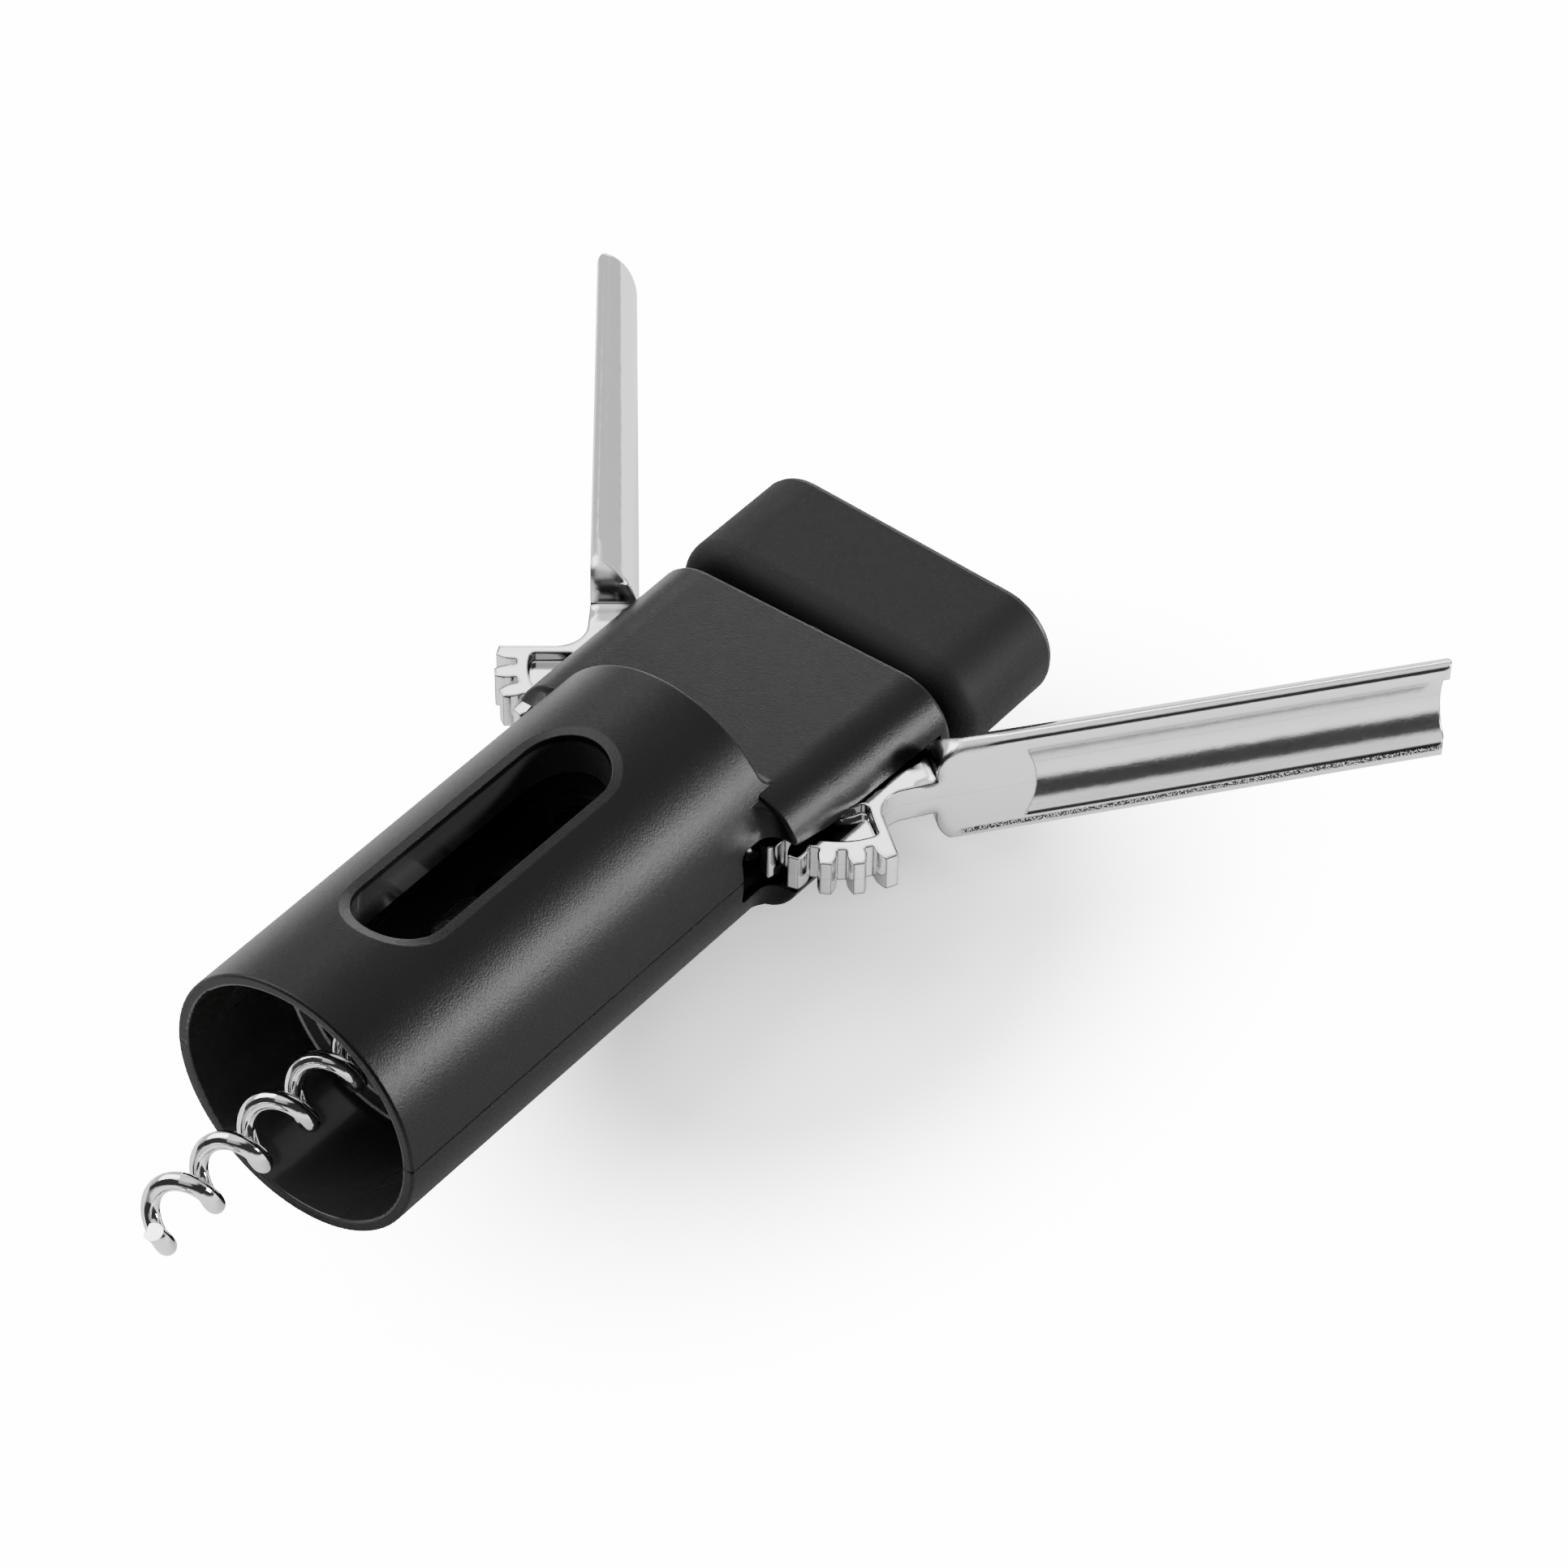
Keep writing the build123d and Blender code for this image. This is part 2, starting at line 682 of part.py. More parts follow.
# Handle: a half-oval bar that grows shallower to its tip, its foot drawn in to the strap
with BuildPart() as handle:
    for t, depth in ((handle_foot - 1, handle_foot_depth), (handle_tip, handle_tip_depth)):
        with BuildSketch(handle_plane.offset(t)) as bar_section:
            with Locations((handle_lip_n, 0)):
                Ellipse(depth, handle_half_width)
            with Locations((above_lips, 0)):
                Rectangle(2 * handle_half_width, 3 * handle_half_width, mode=Mode.SUBTRACT)
            fillet(bar_section.vertices().group_by(Axis.X)[-1], radius=lip_edge_radius)
    loft(ruled=True)
    add(trough.part, mode=Mode.SUBTRACT)
    # Foot outline seen from the open side: two rounded ears beside the strap
    ear_middle_t = ear_end - (ear_end - ear_start) * math.cos(math.pi / 4)
    ear_middle_z = gear_half_thickness + (handle_half_width - gear_half_thickness) * math.sin(math.pi / 4)
    with BuildSketch(front_plane):
        with BuildLine():
            Line((handle_foot, 0), (handle_foot, gear_half_thickness))
            Line((handle_foot, gear_half_thickness), (ear_start, gear_half_thickness))
            ThreePointArc(
                (ear_start, gear_half_thickness), (ear_middle_t, ear_middle_z), (ear_end, handle_half_width)
            )
            Line((ear_end, handle_half_width), (handle_tip, handle_half_width))
            Line((handle_tip, handle_half_width), (handle_tip, 0))
            Line((handle_tip, 0), (handle_foot, 0))
        make_face()
        mirror(about=Plane.XZ)
    extrude(amount=handle_half_width, both=True, mode=Mode.INTERSECT)
    # Side profile: the foot rises from the strap's back to the full depth, the lips end rounded
    beyond_back = handle_lip_n - handle_foot_depth - 1
    with BuildSketch(gear_plane) as side_profile:
        with BuildLine():
            Polyline(
                (handle_lip_n, handle_foot),
                (handle_lip_n, handle_tip),
                (beyond_back, handle_tip),
                (beyond_back, back_rise_end),
                (strap_back_n, handle_foot),
                close=True,
            )
        make_face()
        lip_tip = side_profile.vertices().sort_by_distance((handle_lip_n, handle_tip, 0))[0]
        fillet(lip_tip, radius=lip_corner_radius)
    extrude(amount=handle_half_width + 1, both=True, mode=Mode.INTERSECT)

with BuildPart() as whole_lever:
    add(right_lever.part)
    add(handle.part)
    keep(whole_lever.part, "right_lever")

with BuildPart() as left_lever:
    mirror(whole_lever.part, about=Plane.YZ)
    keep(left_lever.part, "left_lever")

# Rack shaft: nose with the worm's socket, ring rack, plain journal and neck
rack_tooth_thickness = rack_pitch - lever_tooth_thickness - backlash
flank_slope = math.tan(pressure_angle)
crest_half_width = rack_tooth_thickness / 2 - gear_module * flank_slope
floor_half_width = (rack_pitch - rack_tooth_thickness) / 2 - tooth_root * gear_module * flank_slope
lowest_groove = -8
highest_groove = 2
socket_radius = worm_coil_radius + wire_radius + socket_gap
# The lowest groove runs on for one more pitch, to take the square end of the sectors
rack_middle = pivot_y - mesh_shift * rack_pitch
run_out_start = rack_middle + (lowest_groove - 1.5) * rack_pitch + crest_half_width
run_out_floor = rack_middle + (lowest_groove - 1) * rack_pitch - floor_half_width
with BuildPart() as rack_shaft:
    with BuildSketch(Plane.XY):
        with BuildLine():
            outline = [
                (0, shaft_start),
                (shaft_nose_radius, shaft_start),
                (shaft_nose_radius, rack_start),
                (rack_tip_radius, rack_start),
                (rack_tip_radius, run_out_start),
                (rack_root_radius, run_out_floor),
            ]
            for groove in range(lowest_groove, highest_groove + 1):
                middle = rack_middle + groove * rack_pitch
                if groove > lowest_groove:
                    outline.append((rack_tip_radius, middle - rack_pitch / 2 + crest_half_width))
                    outline.append((rack_root_radius, middle - floor_half_width))
                outline.append((rack_root_radius, middle + floor_half_width))
                outline.append((rack_tip_radius, middle + rack_pitch / 2 - crest_half_width))
            outline.append((rack_tip_radius, journal_end))
            outline.append((shaft_neck_radius, journal_end))
            outline.append((shaft_neck_radius, shaft_end))
            outline.append((0, shaft_end))
            Polyline(outline, close=True)
        make_face()
    revolve(axis=Axis.Y)
    with BuildSketch(across(shaft_start)):
        Circle(socket_radius)
    extrude(amount=worm_tail_start + socket_end_gap - shaft_start, mode=Mode.SUBTRACT)
    with BuildSketch(across(shaft_start)):
        Circle(wire_radius + screw_clearance)
    extrude(amount=worm_tail_end + tail_end_gap - shaft_start, mode=Mode.SUBTRACT)
    with BuildSketch(Plane.XY):
        with Locations((0, grip_pin_y)):
            Circle(grip_pin_radius + screw_clearance)
    extrude(amount=rack_tip_radius, both=True, mode=Mode.SUBTRACT)
    with BuildSketch(Plane.YZ):
        with Locations((worm_pin_y, 0)):
            Circle(worm_pin_radius + screw_clearance)
    extrude(amount=rack_tip_radius, mode=Mode.SUBTRACT)
    keep(rack_shaft.part, "rack_shaft")

with BuildPart() as worm_pin:
    with BuildSketch(Plane.YZ.offset(wire_radius + screw_clearance)):
        with Locations((worm_pin_y, 0)):
            Circle(worm_pin_radius)
    extrude(amount=shaft_nose_radius - wire_radius - ferrule_pin_gap)
    keep(worm_pin.part, "worm_pin")

ferrule_radius = shaft_nose_radius + screw_clearance + ferrule_wall
with BuildPart() as worm_ferrule:
    with BuildSketch(across(shaft_start)):
        Circle(ferrule_radius)
        Circle(ferrule_radius - ferrule_wall, mode=Mode.SUBTRACT)
    extrude(amount=ferrule_length)
    with BuildSketch(across(shaft_start)):
        Circle(ferrule_radius)
        Circle(socket_radius, mode=Mode.SUBTRACT)
    extrude(amount=-ferrule_lip)
    outer_edge = worm_ferrule.faces().sort_by(Axis.Y)[0].edges().sort_by(SortBy.RADIUS)[-1:]
    fillet(outer_edge, radius=ferrule_wall)
    keep(worm_ferrule.part, "worm_ferrule")


def helix_point(turn):
    """Point on the worm's centre line after a number of turns from the tip."""
    angle = 2 * math.pi * turn
    return Vector(
        worm_coil_radius * math.cos(angle),
        worm_foot + worm_pitch * turn,
        -worm_coil_radius * math.sin(angle),
    )


def helix_tangent(turn):
    """Direction of the worm's centre line."""
    angle = 2 * math.pi * turn
    round_speed = 2 * math.pi * worm_coil_radius
    return Vector(
        -round_speed * math.sin(angle), worm_pitch, -round_speed * math.cos(angle)
    ).normalized()


def biarc(start, start_direction, end, end_direction):
    """Two arcs that leave start and reach end along the two given directions."""
    chord = end - start
    both = start_direction + end_direction
    spread = 2 * (1 - start_direction.dot(end_direction))
    along = chord.dot(both)
    reach = (-along + math.sqrt(along**2 + spread * chord.dot(chord))) / spread
    joint = (start + end + (start_direction - end_direction) * reach) * 0.5
    first = TangentArc(start, joint, tangent=start_direction)
    TangentArc(joint, end, tangent=first % 1)


tail_point = Vector(0, worm_tail_start, 0)
tail_direction = Vector(0, 1, 0)
tip_slant = Vector(0.5, 0, 0.3) - helix_tangent(ground_tip_turn)
with BuildPart() as worm:
    with BuildLine() as worm_line:
        biarc(helix_point(worm_tip_turn), helix_tangent(worm_tip_turn), helix_point(0), helix_tangent(0))
        for quarter in range(round(4 * worm_turns)):
            turn = quarter / 4
            next_turn = turn + 0.25
            biarc(
                helix_point(turn),
                helix_tangent(turn),
                helix_point(next_turn),
                helix_tangent(next_turn),
            )
        biarc(helix_point(worm_turns), helix_tangent(worm_turns), tail_point, tail_direction)
        Line(tail_point, (0, worm_tail_end, 0))
    with BuildSketch(Plane(origin=helix_point(worm_tip_turn), z_dir=helix_tangent(worm_tip_turn))):
        Circle(wire_radius)
    sweep(path=worm_line.wire())
    # The point is ground at a slant
    with BuildSketch(Plane(origin=helix_point(ground_tip_turn), z_dir=tip_slant)):
        Rectangle(6 * wire_radius, 6 * wire_radius)
    extrude(amount=4 * wire_radius, mode=Mode.SUBTRACT)
    keep(worm.part, "worm")

# Thrust washer between the casing and the grip
washer_start = journal_end + thrust_washer_gap
with BuildPart() as thrust_washer:
    with BuildSketch(across(washer_start)):
        Circle(thrust_washer_radius)
        Circle(shaft_neck_radius + running_clearance, mode=Mode.SUBTRACT)
    extrude(amount=grip_start - thrust_washer_gap - washer_start)
    keep(thrust_washer.part, "thrust_washer")


def grip_outline(inset):
    """Rounded outline of the grip, drawn in by inset."""
    return RectangleRounded(
        2 * (grip_half_width - inset),
        2 * (grip_half_thickness - inset),
        grip_corner_radius - inset,
        rotation=grip_turn,
    )


cover_end = grip_end - end_cap_thickness
core_start = grip_start + grip_skin
with BuildPart() as grip_cover:
    with BuildSketch(across(grip_start)):
        grip_outline(0)
    extrude(amount=cover_end - grip_start)
    fillet(grip_cover.faces().sort_by(Axis.Y)[0].edges(), radius=grip_near_edge_radius)
    with BuildSketch(across(core_start)):
        grip_outline(grip_skin)
    extrude(amount=cover_end - core_start, mode=Mode.SUBTRACT)
    with BuildSketch(across(grip_start)):
        Circle(shaft_neck_radius + fit_gap)
    extrude(amount=core_start - grip_start, mode=Mode.SUBTRACT)
    keep(grip_cover.part, "grip_cover")

with BuildPart() as grip_core:
    with BuildSketch(across(core_start)):
        grip_outline(grip_skin)
    extrude(amount=cover_end - core_start)
    with BuildSketch(across(core_start)):
        Circle(shaft_neck_radius + screw_clearance)
    extrude(amount=shaft_end + neck_end_gap - core_start, mode=Mode.SUBTRACT)
    with BuildSketch(Plane.XY):
        with Locations((0, grip_pin_y)):
            Circle(grip_pin_radius + screw_clearance)
    extrude(amount=grip_half_thickness, both=True, mode=Mode.SUBTRACT)
    keep(grip_core.part, "grip_core")

with BuildPart() as grip_pin:
    with BuildSketch(Plane.XY):
        with Locations((0, grip_pin_y)):
            Circle(grip_pin_radius)
    extrude(amount=grip_half_thickness - grip_skin - grip_pin_gap, both=True)
    keep(grip_pin.part, "grip_pin")

with BuildPart() as grip_end_cap:
    with BuildSketch(across(cover_end)):
        grip_outline(end_cap_inset)
    extrude(amount=end_cap_thickness)
    fillet(grip_end_cap.faces().sort_by(Axis.Y)[-1].edges(), radius=grip_far_edge_radius)
    keep(grip_end_cap.part, "grip_end_cap")
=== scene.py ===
import json
import math

import bpy
from mathutils import Matrix, Vector

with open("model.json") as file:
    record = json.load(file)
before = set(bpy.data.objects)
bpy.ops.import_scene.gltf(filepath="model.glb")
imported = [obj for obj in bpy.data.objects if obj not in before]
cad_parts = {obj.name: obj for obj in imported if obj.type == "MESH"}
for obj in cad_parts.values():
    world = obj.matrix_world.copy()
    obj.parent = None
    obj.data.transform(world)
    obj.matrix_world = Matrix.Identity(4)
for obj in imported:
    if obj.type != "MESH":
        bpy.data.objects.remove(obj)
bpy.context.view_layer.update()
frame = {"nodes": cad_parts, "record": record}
nodes = frame["nodes"]

# Places on the object, in metres
FLOOR_Z = -0.0211
BORE_RADIUS = 0.0191
TUBE_END = 0.081
STEP_RADIUS = 0.016
STEP_Y = 0.0202
GRIP_TURN = math.radians(3.4)
PIVOT_X = 0.021
PIVOT_Y = 0.0945
LEVER_ANGLE = math.radians(38)

# Pairs for Wire.step: a mark is 0 at the first value and 1 at the second
INSIDE_RADIUS = (BORE_RADIUS + 0.0006, BORE_RADIUS + 0.0002)
TUBE_SPAN = (TUBE_END, TUBE_END - 0.002)
RIM_SPAN = (0.0016, 0.0012)
SEAM_WIDTH = (0.00020, 0.00010)
# Widths of the painted light on the bore step's face and of the painted highlights on its edge and corner
PAINTED_LIGHT_FACE_DEPTH = (0.0004, 0.0002)
PAINTED_HIGHLIGHT_EDGE_WIDTH = (0.0003, 0.00015)
PAINTED_HIGHLIGHT_CORNER_WIDTH = (0.0004, 0.0002)
WINDOW_WIDTH = (0.0070, 0.0062)
WINDOW_SIDE = (0.0, 0.005)
MOULD_LINE_WIDTH = (0.00016, 0.00006)
PARTING_WIDTH = (0.00014, 0.00005)
EDGE_LIKENESS = (0.998, 0.95)

# Marks on a lever: along it from its pivot, outward from its middle, across it
TROUGH_ALONG = (0.0275, 0.0295)
TROUGH_OUTWARD = (-0.0026, -0.0016)
TROUGH_ACROSS = (0.0062, 0.0054)
FOOT_START = (0.010, 0.0125)
FOOT_END = (0.024, 0.020)
PAINTED_REFLECTION_ALONG = (0.0165, 0.0185)
PAINTED_REFLECTION_OUTWARD = (0.0016, 0.0022)
PAINTED_REFLECTION_WIDTH = (0.0007, 0.0003)

# The painted dark reflection line rises a little from the foot of the lever to its tip
FOOT_ALONG = 0.0174
FOOT_DEPTH = 0.0073
PAINTED_REFLECTION_RISE = 0.008

# Floor: its reach, the shadow beside the tube, the painted shadow strip that the tube mirrors, and the
# painted shade toward the camera
FLOOR_HALF = 4.0
SHADOW_X = 0.028
SHADOW_Y = 0.085
SHADOW_HALF_X = 0.036
SHADOW_HALF_Y = 0.06
SHADOW_FADE = (0.6, 1.7)
SHADOW_WHITE = 2.3
WHITE_GLOW = 15.0
PAINTED_SHADOW_X = 0.025
PAINTED_SHADOW_Y = 0.04
PAINTED_SHADOW_REACH_X = (0.03, 0.015)
PAINTED_SHADOW_REACH_Y = (0.07, 0.05)
PAINTED_SHADOW_SHARE = 0.35
PAINTED_SHADE_TOWARD_CAMERA = (0.05, 0.22)

# Studio room: reach and strength of its bright parts
OVERHEAD_REACH = (0.74, 0.93)
BEHIND_REACH = (0.1, -0.35)
FILL_REACH = (0.93, 0.985)
FILL_ASIDE = 0.2
BEHIND_SHARE = 0.62
FILL_SHARE = 0.38
ROOM_GLOW = (0.04, 1.25)

# Camera: where the photograph was taken from
CAMERA_PLACE = Vector((0.40154, -0.42328, 0.58489))
CAMERA_AZIMUTH = 0.646
CAMERA_ELEVATION = 0.736
CAMERA_ROLL = 0.013
CAMERA_LENS = 139.44


def way(azimuth, elevation):
    """Direction from the object at an azimuth and elevation, in radians."""
    return Vector((
        math.sin(azimuth) * math.cos(elevation),
        -math.cos(azimuth) * math.cos(elevation),
        math.sin(elevation),
    ))


def make_camera():
    """Camera at the photograph's viewing angle."""
    back = way(CAMERA_AZIMUTH, CAMERA_ELEVATION)
    level = Vector((math.cos(CAMERA_AZIMUTH), math.sin(CAMERA_AZIMUTH), 0))
    upright = back.cross(level)
    right = math.cos(CAMERA_ROLL) * level + math.sin(CAMERA_ROLL) * upright
    up = math.cos(CAMERA_ROLL) * upright - math.sin(CAMERA_ROLL) * level
    data = bpy.data.cameras.new("camera")
    data.sensor_width = 36
    data.sensor_fit = "HORIZONTAL"
    data.lens = CAMERA_LENS
    data.clip_start = 0.02
    data.clip_end = 50
    camera = bpy.data.objects.new("camera", data)
    turn = Matrix((right, up, back)).transposed().to_4x4()
    camera.matrix_world = Matrix.Translation(CAMERA_PLACE) @ turn
    bpy.context.scene.collection.objects.link(camera)
    bpy.context.scene.camera = camera


make_camera()


class Wire:
    """An output socket that takes part in sums; each sum adds a Math node."""

    def __init__(self, finish, socket):
        self.finish = finish
        self.socket = socket

    def sum(self, operation, *terms):
        return self.finish.node("ShaderNodeMath", {"operation": operation}, dict(enumerate(terms)))

    def __add__(self, other):
        return self.sum("ADD", self, other)

    def __radd__(self, other):
        return self.sum("ADD", other, self)

    def __sub__(self, other):
        return self.sum("SUBTRACT", self, other)

    def __rsub__(self, other):
        return self.sum("SUBTRACT", other, self)

    def __mul__(self, other):
        return self.sum("MULTIPLY", self, other)

    def __rmul__(self, other):
        return self.sum("MULTIPLY", other, self)

    def __truediv__(self, other):
        return self.sum("DIVIDE", self, other)

    def __pow__(self, other):
        return self.sum("POWER", self, other)

    def __abs__(self):
        return self.sum("ABSOLUTE", self)

    def step(self, low, high):
        """0 below low, 1 above high, smooth between; the other way round if low is the larger."""
        settings = {"interpolation_type": "SMOOTHSTEP", "clamp": True}
        sockets = {"Value": self, "From Min": min(low, high), "From Max": max(low, high)}
        sockets["To Min"] = 0.0 if low < high else 1.0
        sockets["To Max"] = 1.0 if low < high else 0.0
        return self.finish.node("ShaderNodeMapRange", settings, sockets)

    def spread(self, low, high):
        """A value from 0 to 1 carried to the span from low to high."""
        return self * (high - low) + low


class Finish:
    """A node tree under construction, with one method that adds any node."""

    def __init__(self, owner):
        owner.use_nodes = True
        self.tree = owner.node_tree
        self.tree.nodes.clear()

    def node(self, kind, settings=None, sockets=None, out=0):
        """Add a node, set it, feed its sockets with values or wires, and give back one of its outputs."""
        made = self.tree.nodes.new(kind)
        for name, value in (settings or {}).items():
            setattr(made, name, value)
        for name, value in (sockets or {}).items():
            if isinstance(value, Wire):
                self.tree.links.new(value.socket, made.inputs[name])
            else:
                made.inputs[name].default_value = value
        return Wire(self, made.outputs[out]) if made.outputs else made

    def place(self):
        """Position on the object, in metres."""
        return self.node("ShaderNodeTexCoord", out="Object")

    def parts(self, vector):
        """The three numbers of a vector."""
        split = self.node("ShaderNodeSeparateXYZ", sockets={"Vector": vector})
        return [Wire(self, socket) for socket in split.socket.node.outputs]

    def noise(self, place, size, detail=2.0, roughness=0.5):
        """Cloudy pattern from 0 to 1 whose features are about size metres across."""
        sockets = {"Vector": place, "Scale": 1 / size, "Detail": detail, "Roughness": roughness}
        return self.node("ShaderNodeTexNoise", {"normalize": True}, sockets)

    def cells(self, place, size):
        """Distance to the nearest of scattered points about size metres apart, as a share of size."""
        return self.node("ShaderNodeTexVoronoi", {"feature": "F1"}, {"Vector": place, "Scale": 1 / size})

    def blend(self, share, first, second):
        """Colour that goes from first to second with share."""
        settings = {"data_type": "RGBA", "clamp_factor": True}
        sockets = {"Factor": share, 6: first, 7: second}
        return self.node("ShaderNodeMix", settings, sockets, out=2)

    def bump(self, height, depth, under=None):
        """Surface relief: height from 0 to 1 stands for depth metres."""
        sockets = {"Height": height, "Strength": 1.0, "Distance": depth}
        if under is not None:
            sockets["Normal"] = under
        return self.node("ShaderNodeBump", sockets=sockets)

    def edges(self, radius):
        """1 on the sharp edges, 0 a radius away from them."""
        rounded = self.soft_edges(radius)
        true = self.node("ShaderNodeNewGeometry", out="Normal")
        settings = {"operation": "DOT_PRODUCT"}
        alike = self.node("ShaderNodeVectorMath", settings, {0: rounded, 1: true}, out="Value")
        return alike.step(*EDGE_LIKENESS)

    def soft_edges(self, radius):
        """Normals that round off the sharp edges of a cast or moulded piece."""
        return self.node("ShaderNodeBevel", {"samples": 8}, {"Radius": radius})


def grey(value, warmth=0.0):
    """Neutral colour, a little warmer or cooler."""
    return (value * (1 + warmth), value, value * (1 - warmth), 1.0)


def new_finish(name):
    """A material and its empty node tree."""
    material = bpy.data.materials.new(name)
    return material, Finish(material)


def surface(finish, **sockets):
    """Shader of a material, fed by values or wires, and its output."""
    named = {name.replace("_", " "): value for name, value in sockets.items()}
    shader = finish.node("ShaderNodeBsdfPrincipled", sockets=named)
    finish.node("ShaderNodeOutputMaterial", sockets={"Surface": shader})


def satin_casing():
    """Black moulded plastic: fine grain outside; gloss inside the tube, painted lighter there as stray
    light; painted highlights on the bore's step and its face painted lighter.
    """
    material, finish = new_finish("satin_casing")
    place = finish.place()
    x, y, z = finish.parts(place)
    from_axis = (x * x + z * z) ** 0.5
    inside = from_axis.step(*INSIDE_RADIUS) * y.step(*TUBE_SPAN)
    at_window = abs(x).step(*WINDOW_WIDTH) * z.step(*WINDOW_SIDE)
    painted_light_step_face = abs(y - STEP_Y).step(*PAINTED_LIGHT_FACE_DEPTH) * inside * (1 - at_window)
    painted_highlight_step_edge = painted_light_step_face * abs(from_axis - STEP_RADIUS).step(*PAINTED_HIGHLIGHT_EDGE_WIDTH)
    painted_highlight_step_corner = painted_light_step_face * abs(from_axis - BORE_RADIUS).step(*PAINTED_HIGHLIGHT_CORNER_WIDTH)
    grain = finish.noise(place, size=0.0003, detail=3.0, roughness=0.6)
    clouds = finish.noise(place, size=0.012, detail=3.0)
    outside = 1 - inside
    outer_rough = clouds.spread(0.32, 0.36) + grain.spread(-0.03, 0.03)
    rough = outside * outer_rough + inside * clouds.spread(0.2, 0.28)
    shade = finish.blend(clouds, grey(0.0028), grey(0.0036))
    # Painted light: inside the tube the same plastic is painted ten times lighter, standing in for stray
    # light.
    shade = finish.blend(inside, shade, grey(0.028))
    # Painted light on the bore step's face, and painted highlight lines on its edge and corner.
    shade = finish.blend(painted_light_step_face, shade, grey(0.12))
    shade = finish.blend(painted_highlight_step_edge * 0.8 + painted_highlight_step_corner, shade, grey(0.8))
    rounded = finish.soft_edges(radius=0.00025)
    relief = finish.bump(grain * outside, depth=0.00005, under=rounded)
    rim = y.step(*RIM_SPAN)
    seam = abs(z / (1 + rim)).step(*SEAM_WIDTH) * outside * y.step(*TUBE_SPAN)
    relief = finish.bump(1 - seam, depth=0.0003, under=relief)
    surface(
        finish, Base_Color=shade, Roughness=rough, Normal=relief, Specular_IOR_Level=0.20,
        Coat_Weight=inside * 0.3, Coat_Roughness=0.05,
    )
    return material


def soft_grip():
    """Matte charcoal rubber with fine specks and the mould line along both sides."""
    material, finish = new_finish("soft_grip")
    place = finish.place()
    x, _, z = finish.parts(place)
    across = z * math.cos(GRIP_TURN) - x * math.sin(GRIP_TURN)
    mould_line = abs(across).step(*MOULD_LINE_WIDTH)
    dashes = finish.noise(place, size=0.0035, detail=1.0).step(0.55, 0.62)
    specks = finish.cells(place, size=0.0011).step(0.13, 0.07)
    grain = finish.noise(place, size=0.0003, detail=3.0, roughness=0.65)
    clouds = finish.noise(place, size=0.015, detail=2.0)
    shade = finish.blend(clouds, grey(0.0044), grey(0.0056))
    shade = finish.blend(specks * 0.45, shade, grey(0.03))
    shade = finish.blend(mould_line * dashes * 0.8, shade, grey(0.001))
    rough = clouds.spread(0.6, 0.68) + grain.spread(-0.05, 0.05)
    relief = finish.bump(grain + 0.6 * mould_line, depth=0.00004)
    surface(finish, Base_Color=shade, Roughness=rough, Normal=relief, Specular_IOR_Level=0.20)
    return material


def chrome_casting():
    """Bright chrome over a casting: slight waviness, pits, painted dark reflections on the edges, a painted
    dark reflection line low on each lever, a faint parting line.
    """
    material, finish = new_finish("chrome_casting")
    place = finish.place()
    x, y, z = finish.parts(place)
    waves = finish.noise(place, size=0.006, detail=1.5)
    pits = finish.noise(place, size=0.00035, detail=3.0, roughness=0.7)
    specks = finish.cells(place, size=0.0007).step(0.16, 0.06)
    parting = abs(z).step(*PARTING_WIDTH)
    aside = abs(x) - PIVOT_X
    ahead = y - PIVOT_Y
    along = aside * math.sin(LEVER_ANGLE) + ahead * math.cos(LEVER_ANGLE)
    outward = aside * math.cos(LEVER_ANGLE) - ahead * math.sin(LEVER_ANGLE)
    trough = along.step(*TROUGH_ALONG) * outward.step(*TROUGH_OUTWARD) * abs(z).step(*TROUGH_ACROSS)
    shade = finish.blend(waves, grey(0.80, -0.004), grey(0.86, -0.004))
    shade = finish.blend(specks * 0.25 + parting * 0.3, shade, grey(0.42))
    scale = finish.noise(place, size=0.00022, detail=2.0)
    # Painted reflection: a dark speckled line low on each lever, standing in for the shadowed floor it
    # mirrors.
    painted_reflection_z = (along - FOOT_ALONG) * PAINTED_REFLECTION_RISE - FOOT_DEPTH
    painted_dark_reflection = abs(z - painted_reflection_z).step(*PAINTED_REFLECTION_WIDTH) * outward.step(*PAINTED_REFLECTION_OUTWARD) * along.step(*PAINTED_REFLECTION_ALONG)
    shade = finish.blend(painted_dark_reflection * scale.step(0.40, 0.48), shade, grey(0.03))
    # Painted reflection: every sharp edge is darkened as if it mirrored the dark studio.
    shade = finish.blend(finish.edges(radius=0.0004) * 0.8, shade, grey(0.05))
    rough = pits.spread(0.05, 0.11) + 0.1 * parting + trough * pits.spread(0.06, 0.16)
    foot = along.step(*FOOT_START) * along.step(*FOOT_END)
    edges = {0: foot, 4: finish.soft_edges(radius=0.0006), 5: finish.soft_edges(radius=0.0024)}
    rounded = finish.node("ShaderNodeMix", {"data_type": "VECTOR"}, edges, out=1)
    relief = finish.bump(waves, depth=0.00006, under=rounded)
    relief = finish.bump(pits * (1 + 3 * trough), depth=0.0000045, under=relief)
    surface(finish, Base_Color=shade, Metallic=1.0, Roughness=rough, Normal=relief)
    return material


def polished_wire():
    """Polished chromed wire with faint pits."""
    material, finish = new_finish("polished_wire")
    place = finish.place()
    clouds = finish.noise(place, size=0.004, detail=2.0)
    pits = finish.noise(place, size=0.0003, detail=2.0)
    shade = finish.blend(clouds, grey(0.80), grey(0.87))
    relief = finish.bump(pits, depth=0.000003)
    surface(finish, Base_Color=shade, Metallic=1.0, Roughness=pits.spread(0.05, 0.1), Normal=relief)
    return material


